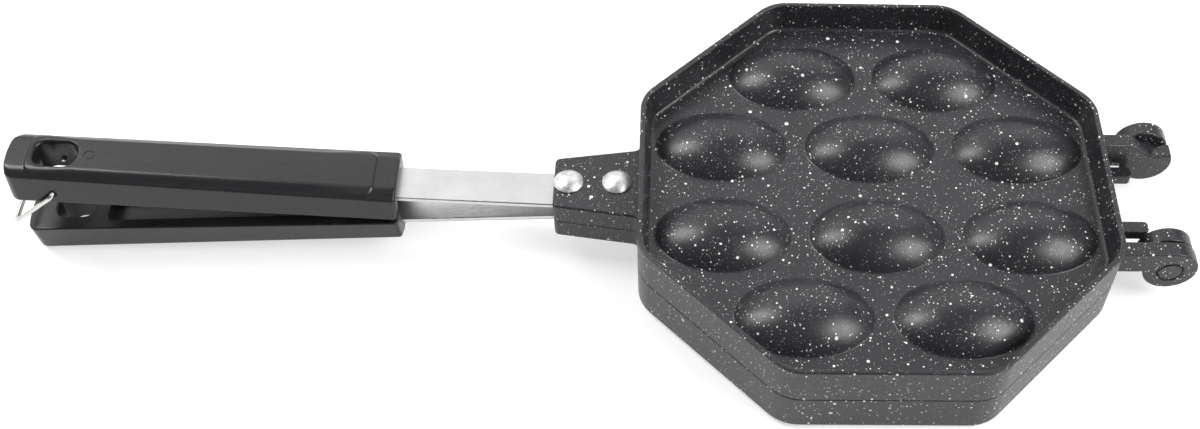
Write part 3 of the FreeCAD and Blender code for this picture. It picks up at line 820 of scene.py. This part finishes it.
def grip_ring(along, shrink):
    """One ring of the grip's skin. Shrink draws it to its centre line, to close an end."""
    from_pan = along - GRIP_START
    from_tail = GRIP_END - along
    half = blend(GRIP_INNER_WIDTH_AT_PAN, GRIP_INNER_WIDTH_AT_TAIL, along) / 2
    loss = corner_loss(from_pan, GRIP_PAN_CORNER_R) + corner_loss(from_tail, GRIP_TAIL_CORNER_R)
    narrow = (half - loss) / half
    edge = corner_loss(from_pan, GRIP_END_EDGE) + corner_loss(from_tail, GRIP_END_EDGE)
    middle = (GRIP_INNER + blend(GRIP_EDGE_AT_PAN, GRIP_EDGE_AT_TAIL, along) + GRIP_CROWN) / 2
    tall = middle - GRIP_INNER
    flatten = (tall - edge) / tall
    ring = []
    for sample in section_samples(along):
        y = sample.x * narrow * shrink
        z = sample.y
        if z > middle:
            z += panel_raise(along, sample.x * narrow)
        z = middle + (z - middle) * flatten * shrink
        ring.append((-bowed(along, y), y, z))
    return ring


def grip_skin():
    rings = [grip_ring(GRIP_START, shrink) for shrink in END_CLOSING_SHARES]
    rings += [grip_ring(along, 1) for along in stations()]
    rings += [grip_ring(GRIP_END, shrink) for shrink in reversed(END_CLOSING_SHARES)]
    return ring_stack(rings)


def grip_top_z(along):
    return blend(GRIP_EDGE_AT_PAN, GRIP_EDGE_AT_TAIL, along) + PANEL_RAISE + GRIP_CROWN


def mouth_levels():
    """(height, inset) pairs of a broken edge where a hollow opens in the inner face."""
    return [
        (GRIP_INNER - OVERRUN, -MOUTH_EDGE - OVERRUN),
        (GRIP_INNER, -MOUTH_EDGE),
        (GRIP_INNER + MOUTH_EDGE, 0),
    ]


def hang_slot():
    """Rounded slot whose rim is rolled over at the top."""
    half_length = SLOT_LENGTH / 2
    half_width = SLOT_WIDTH / 2
    x = -(GRIP_END - SLOT_FROM_TAIL)
    points = [
        (x - half_length, -half_width),
        (x + half_length, -half_width),
        (x + half_length, half_width),
        (x - half_length, half_width),
    ]
    outline = rounded(points, [SLOT_CORNER_R] * 4, SLOT_STEPS)
    top = grip_top_z(GRIP_END - SLOT_FROM_TAIL)
    levels = mouth_levels()
    for step in range(SLOT_LIP_STEPS + 1):
        angle = math.pi / 2 * step / SLOT_LIP_STEPS
        levels.append((top - SLOT_LIP * (1 - math.sin(angle)), -SLOT_LIP * (1 - math.cos(angle))))
    levels.append((top + SLOT_LIP, -5 * SLOT_LIP))
    return upright(outline, levels)


def channel():
    """Room for the tang, open towards the other grip."""
    half = TANG_WIDTH / 2 + TANG_CLEAR
    points = [
        (-CHANNEL_END, -half),
        (-GRIP_START + OVERRUN, -half),
        (-GRIP_START + OVERRUN, half),
        (-CHANNEL_END, half),
    ]
    outline = rounded(points, [CHANNEL_CORNER_R, 0, 0, CHANNEL_CORNER_R])
    return upright(outline, mouth_levels() + [(0, 0)])


def pivot_place():
    return -(GRIP_END - BAIL_FROM_TAIL), -BAIL_BELOW_TANG_TOP


def grip_half_width_at_pivot():
    along = GRIP_END - BAIL_FROM_TAIL
    return blend(GRIP_INNER_WIDTH_AT_PAN, GRIP_INNER_WIDTH_AT_TAIL, along) / 2


def side_at_pivot():
    """Half width of the leaning side at the pivot's height."""
    along = GRIP_END - BAIL_FROM_TAIL
    inner = grip_half_width_at_pivot()
    edge = blend(GRIP_EDGE_WIDTH_AT_PAN, GRIP_EDGE_WIDTH_AT_TAIL, along) / 2
    edge_z = blend(GRIP_EDGE_AT_PAN, GRIP_EDGE_AT_TAIL, along)
    share = (pivot_place()[1] - GRIP_INNER) / (edge_z - GRIP_INNER)
    return inner + (edge - inner) * share


def pivot_hole():
    """Hole through both side walls, flared at each mouth."""
    x, z = pivot_place()
    radius = WIRE_R + WIRE_CLEAR
    side = side_at_pivot()
    flare = PIVOT_FLARE
    profile = [
        (radius + 3 * flare, -side - 2 * flare),
        (radius, -side + flare),
        (radius, side - flare),
        (radius + 3 * flare, side + 2 * flare),
    ]
    turn = Matrix.Translation((x, 0, z)) @ Matrix.Rotation(-math.pi / 2, 4, "X")
    return moved(lathe(profile), turn)


def mould_mark():
    """Shallow ring left on the panel by the mould's ejector pin."""
    along = GRIP_END - MARK_FROM_TAIL
    top = grip_top_z(along)
    slope = math.atan2(GRIP_EDGE_AT_TAIL - GRIP_EDGE_AT_PAN, GRIP_LENGTH)
    bm = bmesh.new()
    inner, outer = MARK_R - MARK_LINE, MARK_R
    rings = []
    corners = (
        (outer, MARK_ROOM),
        (outer, -MARK_DEPTH),
        (inner, -MARK_DEPTH),
        (inner, MARK_ROOM),
    )
    for radius, height in corners:
        ring = []
        for i in range(ROUND_SIDES):
            angle = 2 * math.pi * i / ROUND_SIDES
            ring.append(bm.verts.new((radius * math.cos(angle), radius * math.sin(angle), height)))
        rings.append(ring)
    for i in range(len(rings)):
        bridge(bm, rings[i - 1], rings[i])
    bmesh.ops.recalc_face_normals(bm, faces=bm.faces)
    return moved(bm, Matrix.Translation((-along, 0, top)) @ Matrix.Rotation(slope, 4, "Y"))


def grip(with_pivot):
    cuts = [channel(), hang_slot(), mould_mark()]
    if with_pivot:
        cuts.append(pivot_hole())
    return moved(combined(grip_skin(), [], cuts), ALONG_TANG)


# Bail

def bent_path(points, radii):
    """Path through the points with each inner corner turned by an arc."""
    path = [points[0]]
    for i in range(1, len(points) - 1):
        before = (points[i - 1] - points[i]).normalized()
        after = (points[i + 1] - points[i]).normalized()
        centre = points[i] + (before + after) * radii[i - 1]
        for step in range(WIRE_BEND_STEPS + 1):
            angle = math.pi / 2 * step / WIRE_BEND_STEPS
            path.append(centre - (after * math.cos(angle) + before * math.sin(angle)) * radii[i - 1])
    path.append(points[-1])
    return path


def wire(path):
    """Round wire along a path, with rounded ends."""
    run = (path[1] - path[0]).normalized()
    side = run.orthogonal().normalized()
    frames = []
    for i, point in enumerate(path):
        if i + 1 < len(path):
            ahead = (path[i + 1] - point).normalized()
            turn = run.rotation_difference(ahead)
            half = run.slerp(ahead, 0.5) if run.angle(ahead) > WIRE_STRAIGHT else run
            frames.append((point, side - half * side.dot(half), half))
            side = turn @ side
            run = ahead
        else:
            frames.append((point, side, run))
    rings = []
    first, first_side, first_run = frames[0]
    last, last_side, last_run = frames[-1]
    shaped = [(first, first_side, first_run, WIRE_END_SHARE)]
    shaped.append((first + first_run * WIRE_END_EDGE, first_side, first_run, 1))
    shaped += [(point, side, run, 1) for point, side, run in frames[1:-1]]
    shaped.append((last - last_run * WIRE_END_EDGE, last_side, last_run, 1))
    shaped.append((last, last_side, last_run, WIRE_END_SHARE))
    for point, side, run, size in shaped:
        across = side.normalized()
        other = run.cross(across)
        ring = []
        for i in range(WIRE_SIDES):
            angle = 2 * math.pi * i / WIRE_SIDES
            offset = across * math.cos(angle) + other * math.sin(angle)
            ring.append(point + offset * WIRE_R * size)
        rings.append(ring)
    return ring_stack(rings)


def latch_bail():
    x, z = pivot_place()
    pivot = ALONG_TANG @ Vector((x, 0, z))
    reach = Vector((-math.sin(BAIL_SWING), 0, -math.cos(BAIL_SWING))) * BAIL_LEG
    leg_y = grip_half_width_at_pivot() + BAIL_SIDE_GAP + WIRE_R
    pin_y = SLOT_WIDTH / 2 - BAIL_PIN_SHOW
    far = Vector((0, leg_y, 0))
    points = [
        pivot + Vector((0, pin_y, 0)),
        pivot + far,
        pivot + far + reach,
        pivot - far + reach,
        pivot - far,
        pivot - Vector((0, pin_y, 0)),
    ]
    return wire(bent_path(points, [BAIL_ELBOW_R, BAIL_CORNER_R, BAIL_CORNER_R, BAIL_ELBOW_R]))


# Materials

# Cell and radius of each kind of speck, in millimetres
FINE_SPECKS = (0.72, 0.14)
MIDDLE_SPECKS = (1.45, 0.26)
LARGE_SPECKS = (3.0, 0.44)
LARGEST_SPECKS = (6.8, 0.74)
LARGE_KEPT_SHARE = 0.55
LARGEST_KEPT_SHARE = 0.45
FINE_PALENESS = 0.5
COATING_DARK = (0.016, 0.016, 0.019, 1)
COATING_PALE = (0.023, 0.023, 0.027, 1)
SPECK_COLOUR = (0.95, 0.95, 0.95, 1)
STRIP_COLOUR = (0.64, 0.64, 0.64)
WIRE_COLOUR = (0.72, 0.71, 0.69)
SCREW_COLOUR = (0.6, 0.6, 0.61)
COATING_REFLECTION = 0.55
PHENOLIC_REFLECTION = 0.45
STAIN_SHARE = 0.86
RIVET_DARK = (0.60, 0.60, 0.61, 1)
RIVET_PALE = (0.86, 0.86, 0.86, 1)
PHENOLIC_DARK = (0.015, 0.015, 0.017, 1)
PHENOLIC_PALE = (0.021, 0.021, 0.023, 1)
FLOOR_COLOUR = (0.62, 0.62, 0.62, 1)
FLOOR_ROUGHNESS = 0.9
FLOOR_GLOW = 0.6


def new_material(name):
    material = bpy.data.materials.new(name)
    material.use_nodes = True
    tree = material.node_tree
    shader = tree.nodes["Principled BSDF"]
    coordinates = tree.nodes.new("ShaderNodeTexCoord")
    return material, tree, shader, coordinates.outputs["Object"]


def node(tree, kind, inputs=None, **settings):
    made = tree.nodes.new(kind)
    for key, value in settings.items():
        setattr(made, key, value)
    for key, value in (inputs or {}).items():
        if isinstance(value, bpy.types.NodeSocket):
            tree.links.new(value, made.inputs[key])
        else:
            made.inputs[key].default_value = value
    return made


def math_node(tree, operation, first, second):
    return node(tree, "ShaderNodeMath", {0: first, 1: second}, operation=operation).outputs[0]


def noise(tree, place, scale, detail=2.0, roughness=0.5):
    made = node(
        tree,
        "ShaderNodeTexNoise",
        {"Vector": place, "Scale": scale, "Detail": detail, "Roughness": roughness},
    )
    return made.outputs["Fac"]


def ramp(tree, value, low, high, to_low=0.0, to_high=1.0):
    made = node(
        tree,
        "ShaderNodeMapRange",
        {"Value": value, "From Min": low, "From Max": high, "To Min": to_low, "To Max": to_high},
    )
    return made.outputs["Result"]


def mixed_colour(tree, share, first, second):
    made = node(tree, "ShaderNodeMix", data_type="RGBA")
    for key, value in ((0, share), (6, first), (7, second)):
        if isinstance(value, bpy.types.NodeSocket):
            tree.links.new(value, made.inputs[key])
        else:
            made.inputs[key].default_value = value
    return made.outputs[2]


def stretched(tree, place, scale):
    made = node(tree, "ShaderNodeMapping", {"Vector": place, "Scale": scale})
    return made.outputs["Vector"]


def bump(tree, shader, height, distance, strength=1.0):
    made = node(
        tree, "ShaderNodeBump", {"Height": height, "Distance": distance, "Strength": strength}
    )
    tree.links.new(made.outputs["Normal"], shader.inputs["Normal"])


def specks(tree, place, sizes, kept):
    """Spots of about a radius, one in each cell of space, of which only a share is kept."""
    cell, radius = sizes
    cells = node(
        tree,
        "ShaderNodeTexVoronoi",
        {"Vector": place, "Scale": 1 / (cell * MM), "Randomness": 1.0},
        voronoi_dimensions="3D",
    )
    colour = node(tree, "ShaderNodeSeparateColor", {"Color": cells.outputs["Color"]})
    size = ramp(tree, colour.outputs["Green"], 0, 1, 0.55 * radius / cell, 1.15 * radius / cell)
    edge = math_node(tree, "SUBTRACT", size, cells.outputs["Distance"])
    spot = ramp(tree, edge, 0, 0.12 * radius / cell)
    chosen = math_node(tree, "LESS_THAN", colour.outputs["Red"], kept)
    return math_node(tree, "MULTIPLY", spot, chosen)


def coating_material():
    """Charcoal non-stick coating full of fine pale specks that gather in loose clusters."""
    material, tree, shader, place = new_material("speckled_coating")
    shader.inputs["Specular IOR Level"].default_value = COATING_REFLECTION
    gather = ramp(tree, noise(tree, place, 90, 2.0), 0.36, 0.62, 0.3, 0.85)
    fine = specks(tree, place, FINE_SPECKS, gather)
    middle = specks(tree, place, MIDDLE_SPECKS, gather)
    large = specks(tree, place, LARGE_SPECKS, LARGE_KEPT_SHARE)
    largest = specks(tree, place, LARGEST_SPECKS, LARGEST_KEPT_SHARE)
    fine = math_node(tree, "MULTIPLY", fine, FINE_PALENESS)
    small = math_node(tree, "MAXIMUM", fine, middle)
    spots = math_node(tree, "MAXIMUM", small, math_node(tree, "MAXIMUM", large, largest))
    mottle = ramp(tree, noise(tree, place, 60, 3.0), 0.3, 0.7)
    base = mixed_colour(tree, mottle, COATING_DARK, COATING_PALE)
    colour = mixed_colour(tree, spots, base, SPECK_COLOUR)
    tree.links.new(colour, shader.inputs["Base Color"])
    rough = ramp(tree, noise(tree, place, 900, 2.0), 0.3, 0.7, 0.31, 0.39)
    tree.links.new(rough, shader.inputs["Roughness"])
    grain = noise(tree, place, 1400, 2.0)
    relief = math_node(tree, "ADD", math_node(tree, "MULTIPLY", spots, 0.6), grain)
    bump(tree, shader, relief, 0.00002, 0.5)
    return material


def steel_material(name, base, rough_low, rough_high, stretch, scale):
    """Bright steel with drawn or rolled lines along one axis and faint stains."""
    material, tree, shader, place = new_material(name)
    shader.inputs["Metallic"].default_value = 1.0
    lines = noise(tree, stretched(tree, place, stretch), scale, 3.0)
    stains = noise(tree, place, 70, 3.0)
    low = tuple(STAIN_SHARE * part for part in base) + (1,)
    colour = mixed_colour(tree, ramp(tree, stains, 0.3, 0.7), low, base + (1,))
    tree.links.new(colour, shader.inputs["Base Color"])
    rough = ramp(tree, math_node(tree, "ADD", lines, stains), 0.7, 1.3, rough_low, rough_high)
    tree.links.new(rough, shader.inputs["Roughness"])
    bump(tree, shader, lines, 0.00001, 0.35)
    return material


def rivet_material():
    """Upset rivet heads: bright, slightly dented by the rivet set."""
    material, tree, shader, place = new_material("rivet_heads")
    shader.inputs["Metallic"].default_value = 1.0
    dents = noise(tree, place, 420, 2.0)
    colour = mixed_colour(tree, ramp(tree, dents, 0.3, 0.6), RIVET_DARK, RIVET_PALE)
    tree.links.new(colour, shader.inputs["Base Color"])
    rough = ramp(tree, noise(tree, place, 900, 3.0), 0.3, 0.7, 0.34, 0.52)
    tree.links.new(rough, shader.inputs["Roughness"])
    bump(tree, shader, dents, 0.0003, 0.35)
    return material


def phenolic_material():
    """Glossy black phenolic with faint flow marks and fine rubbing scratches."""
    material, tree, shader, place = new_material("glossy_phenolic")
    shader.inputs["Specular IOR Level"].default_value = PHENOLIC_REFLECTION
    flow = noise(tree, stretched(tree, place, (0.25, 1, 1)), 120, 3.0)
    colour = mixed_colour(tree, ramp(tree, flow, 0.3, 0.7), PHENOLIC_DARK, PHENOLIC_PALE)
    tree.links.new(colour, shader.inputs["Base Color"])
    scratches = noise(tree, stretched(tree, place, (0.05, 1, 1)), 2600, 2.0)
    rough = ramp(tree, math_node(tree, "ADD", scratches, flow), 0.7, 1.3, 0.26, 0.32)
    tree.links.new(rough, shader.inputs["Roughness"])
    bump(tree, shader, scratches, 0.00001, 0.06)
    return material


def floor_material():
    """White studio floor. Camera, mirror and glass rays see it a little brighter."""
    material, tree, shader, _ = new_material("studio_floor")
    shader.inputs["Base Color"].default_value = FLOOR_COLOUR
    shader.inputs["Roughness"].default_value = FLOOR_ROUGHNESS
    shader.inputs["Specular IOR Level"].default_value = 0.0
    seen = background_rays(tree)
    shader.inputs["Emission Color"].default_value = (1, 1, 1, 1)
    glow = math_node(tree, "MULTIPLY", seen, FLOOR_GLOW)
    tree.links.new(glow, shader.inputs["Emission Strength"])
    return material


def background_rays(tree):
    """One for rays that may see the white background: camera, mirror and glass rays."""
    path = node(tree, "ShaderNodeLightPath").outputs
    rays = math_node(tree, "MAXIMUM", path["Is Camera Ray"], path["Is Glossy Ray"])
    return math_node(tree, "MAXIMUM", rays, path["Is Transmission Ray"])


COATING = coating_material()
STRIP = steel_material("rolled_strip", STRIP_COLOUR, 0.24, 0.36, (0.05, 1, 1), 1500)
WIRE = steel_material("drawn_wire", WIRE_COLOUR, 0.25, 0.32, (1, 1, 1), 120)
SCREW = steel_material("plated_screw", SCREW_COLOUR, 0.25, 0.35, (1, 1, 1), 700)
RIVET = rivet_material()
PHENOLIC = phenolic_material()


# Pieces

for half, place in (("upper", UPPER_PLACE), ("lower", LOWER_PLACE)):
    body = half + "_half"
    finished(half + "_casting", casting(), place, body, COATING, [half + "_plate"])
    finished(half + "_strip", tang(), place, body, STRIP, [half + "_tang"])
    finished(
        half + "_screw", grip_screw(), place, body, SCREW, [half + "_grip_screw"]
    )
    finished(
        half + "_handle", grip(half == "upper"), place, body, PHENOLIC,
        [half + "_grip"],
    )
    for name, x in zip(("rear_rivet", "front_rivet"), rivet_places()):
        mesh = moved(rivet(), Matrix.Translation((x, 0, 0)))
        finished(
            half + "_" + name + "_head", mesh, place, body, RIVET,
            [half + "_" + name],
        )
finished("wire_bail", latch_bail(), UPPER_PLACE, "bail", WIRE, ["latch_bail"])


# Studio: floor, lamps, world and camera

def to_row(x, y, z):
    """Place in the row frame, in metres, of a point in the pan's frame in millimetres."""
    return PAN_CENTRE + Vector((x, y, z)) * MM


FLOOR_HALF = 3.0
REST_TOUCH = 0.0002
TAIL_TOUCH = 0.004


def floor_mesh():
    """Floor that the shut pan touches with its tail and rim, and the opened lid with its own."""
    rim_x = PAN_CENTRE.x + WALL_X * MM
    rim_z = PAN_CENTRE.z - HALF_HEIGHT * MM
    slope = rim_z / (rim_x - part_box("lower_grip")[0].x - TAIL_TOUCH)
    ridge_x = PAN_CENTRE.x + AXIS_X * MM
    ridge_z = rim_z - REST_TOUCH + slope * (ridge_x - rim_x)
    low_z = ridge_z - slope * FLOOR_HALF
    bm = bmesh.new()
    rows = []
    for x, z in ((ridge_x - FLOOR_HALF, low_z), (ridge_x, ridge_z), (ridge_x + FLOOR_HALF, low_z)):
        rows.append([bm.verts.new((x, y, z)) for y in (-FLOOR_HALF, FLOOR_HALF)])
    for one, other in zip(rows, rows[1:]):
        bm.faces.new((one[0], other[0], other[1], one[1]))
    return bm


floor = loose_object("studio_floor", floor_mesh())
floor.data.materials.append(floor_material())


def softbox(name, direction, distance, width, height, watts):
    """Rectangular lamp that looks at the pan from a direction."""
    light = bpy.data.lights.new(name, "AREA")
    light.shape = "RECTANGLE"
    light.size = width
    light.size_y = height
    light.energy = watts
    lamp = bpy.data.objects.new(name, light)
    bpy.context.scene.collection.objects.link(lamp)
    towards = Vector(direction).normalized()
    lamp.location = to_row(0, 0, 0) + towards * distance
    lamp.rotation_mode = "QUATERNION"
    lamp.rotation_quaternion = towards.to_track_quat("Z", "Y")


# Name, direction from the pan, distance, width, height in metres, and watts
LAMPS = (
    ("left_softbox", (-0.62, 0.20, 0.75), 1.1, 0.36, 0.50, 6.4),
    ("right_softbox", (0.64, -0.26, 0.72), 1.1, 0.62, 0.54, 9.6),
    ("back_softbox", (-0.06, 0.70, 0.71), 1.6, 2.6, 1.2, 12.0),
)
for lamp_values in LAMPS:
    softbox(*lamp_values)

# Sky: bright at the horizon and darker above, with the horizon a little higher behind the pan
HORIZON_TILT = 0.15
HORIZON_FROM = 0.02
HORIZON_TO = 0.32
HORIZON_STRENGTH = 1.0
ZENITH_STRENGTH = 0.15

world = bpy.data.worlds.new("studio")
bpy.context.scene.world = world
world.use_nodes = True
background = world.node_tree.nodes["Background"]
background.inputs["Color"].default_value = (1, 1, 1, 1)
sky = world.node_tree
direction = node(
    sky,
    "ShaderNodeSeparateXYZ",
    {"Vector": node(sky, "ShaderNodeTexCoord").outputs["Generated"]},
).outputs
behind = math_node(sky, "MULTIPLY", direction["Y"], HORIZON_TILT)
height = math_node(sky, "SUBTRACT", direction["Z"], behind)
strength = ramp(sky, height, HORIZON_FROM, HORIZON_TO, HORIZON_STRENGTH, ZENITH_STRENGTH)
sky.links.new(strength, background.inputs["Strength"])

SENSOR = 36.0
LENS = 45.39
SHIFT_X = -0.1
CLIP_NEAR = 0.01
CLIP_FAR = 20.0
CAMERA_PLACE = (-75.251, -362.509, 459.903)
CAMERA_RIGHT = Vector((0.99955, -0.00921, 0.02838))
CAMERA_UP = Vector((-0.01003, 0.79212, 0.61029))

camera_data = bpy.data.cameras.new("camera")
camera_data.sensor_fit = "HORIZONTAL"
camera_data.sensor_width = SENSOR
camera_data.lens = LENS
camera_data.shift_x = SHIFT_X
camera_data.clip_start = CLIP_NEAR
camera_data.clip_end = CLIP_FAR
camera = bpy.data.objects.new("camera", camera_data)
bpy.context.scene.collection.objects.link(camera)
back = CAMERA_RIGHT.cross(CAMERA_UP).normalized()
turn = Matrix((CAMERA_RIGHT, CAMERA_UP, back)).transposed().to_4x4()
camera.matrix_world = Matrix.Translation(to_row(*CAMERA_PLACE)) @ turn
bpy.context.scene.camera = camera
bpy.context.scene.view_settings.view_transform = "Standard"
